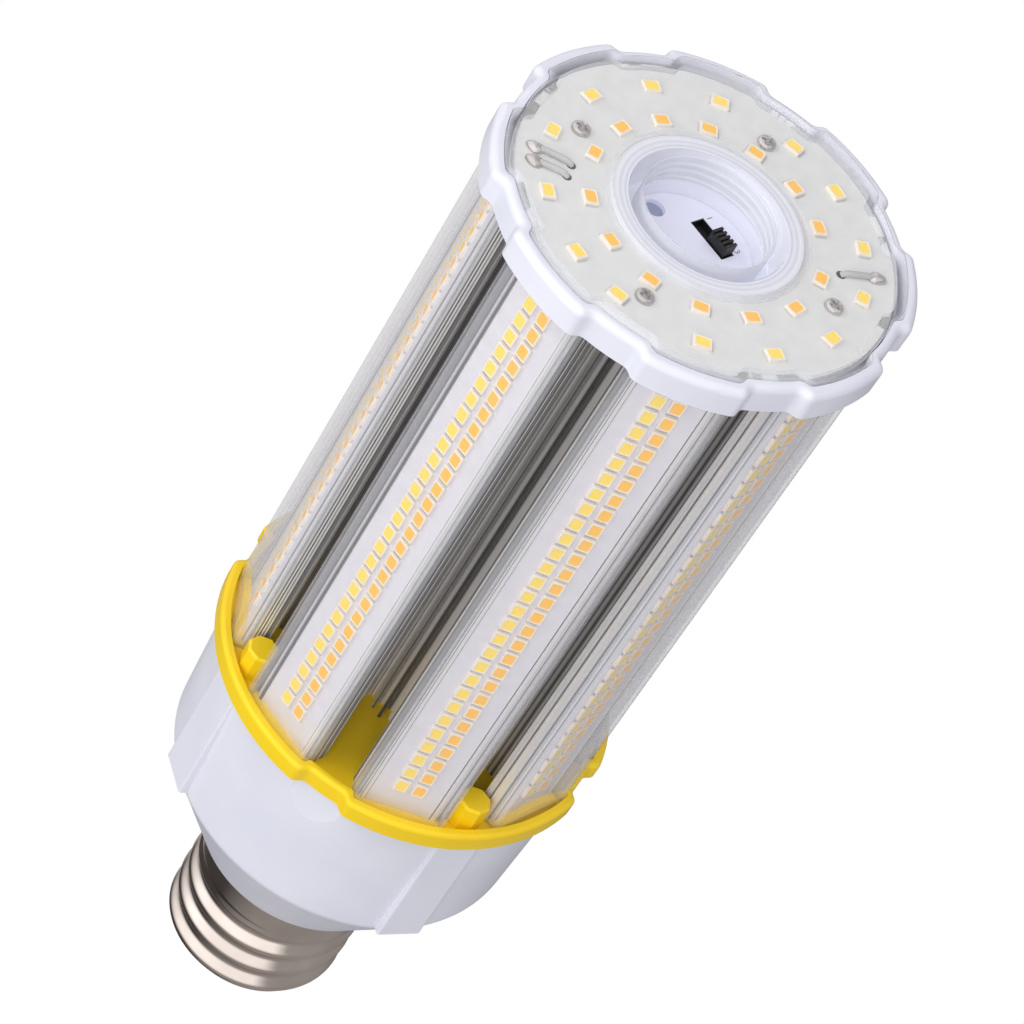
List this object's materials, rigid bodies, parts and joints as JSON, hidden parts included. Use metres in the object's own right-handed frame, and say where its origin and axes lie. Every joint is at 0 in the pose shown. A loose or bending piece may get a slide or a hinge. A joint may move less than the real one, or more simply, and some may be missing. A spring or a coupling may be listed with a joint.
{
  "type": "led retrofit bulb",
  "caption": "Corn-style LED bulb: lens-covered LED strips on a finned aluminium core, white end ring with a selector well, yellow collar, driver housing and a large screw base.",
  "frame": {"origin": "on the lamp's axis, at the housing rim that the screw shell seats on", "axes": "+Z along the axis from the screw base to the head; -Y through the gap between two strips that faces the picture's camera"},
  "size_m": [0.0836, 0.0836, 0.2472],
  "materials": {
    "aluminium": "extruded, satin",
    "white_board": "white solder mask",
    "cool_led": "pale yellow phosphor",
    "warm_led": "orange phosphor",
    "clear_plastic": "clear moulded polycarbonate",
    "white_plastic": "semi-gloss moulded",
    "yellow_plastic": "semi-gloss moulded",
    "steel": "zinc plated",
    "lead_sleeve": "wire insulation",
    "black_plastic": "moulded",
    "driver_laminate": "green laminate",
    "ferrite": "sintered",
    "capacitor_sleeve": "heat-shrink sleeve",
    "nickel": "nickel plated, rolled",
    "base_glass": "vitrified insulator"
  },
  "bodies": {
    "lamp": {"base_insulator": "base_glass", "base_leads": "lead_sleeve", "capacitors": "capacitor_sleeve", "centre_contact": "nickel", "choke": "ferrite", "collar": "yellow_plastic", "cool_leds_1": "cool_led", "cool_leds_2": "cool_led", "cool_leds_3": "cool_led", "cool_leds_4": "cool_led", "cool_leds_5": "cool_led", "cool_leds_6": "cool_led", "cool_leds_7": "cool_led", "cool_leds_8": "cool_led", "driver_board": "driver_laminate", "driver_housing": "white_plastic", "end_board": "white_board", "end_cool_leds": "cool_led", "end_leads": "lead_sleeve", "end_lens": "clear_plastic", "end_plate": "aluminium", "end_ring": "white_plastic", "end_screws": "steel", "end_warm_leds": "warm_led", "foot_screws": "steel", "heat_sink": "aluminium", "housing_screws": "steel", "led_board_1": "white_board", "led_board_2": "white_board", "led_board_3": "white_board", "led_board_4": "white_board", "led_board_5": "white_board", "led_board_6": "white_board", "led_board_7": "white_board", "led_board_8": "white_board", "plate_screws": "steel", "rectifier": "black_plastic", "screw_shell": "nickel", "strip_lens_1": "clear_plastic", "strip_lens_2": "clear_plastic", "strip_lens_3": "clear_plastic", "strip_lens_4": "clear_plastic", "strip_lens_5": "clear_plastic", "strip_lens_6": "clear_plastic", "strip_lens_7": "clear_plastic", "strip_lens_8": "clear_plastic", "switch_body": "black_plastic", "switch_cup": "white_plastic", "switch_harness": "lead_sleeve", "transformer": "ferrite", "warm_leds_1": "warm_led", "warm_leds_2": "warm_led", "warm_leds_3": "warm_led", "warm_leds_4": "warm_led", "warm_leds_5": "warm_led", "warm_leds_6": "warm_led", "warm_leds_7": "warm_led", "warm_leds_8": "warm_led"},
    "selector": {"switch_knob": "black_plastic"}
  },
  "joints": [
    {"name": "selector_slide", "type": "slide", "parent": "lamp", "child": "selector", "axis": [-0.9205, 0.3907, 0], "range_m": [0, 0.004]}
  ]
}
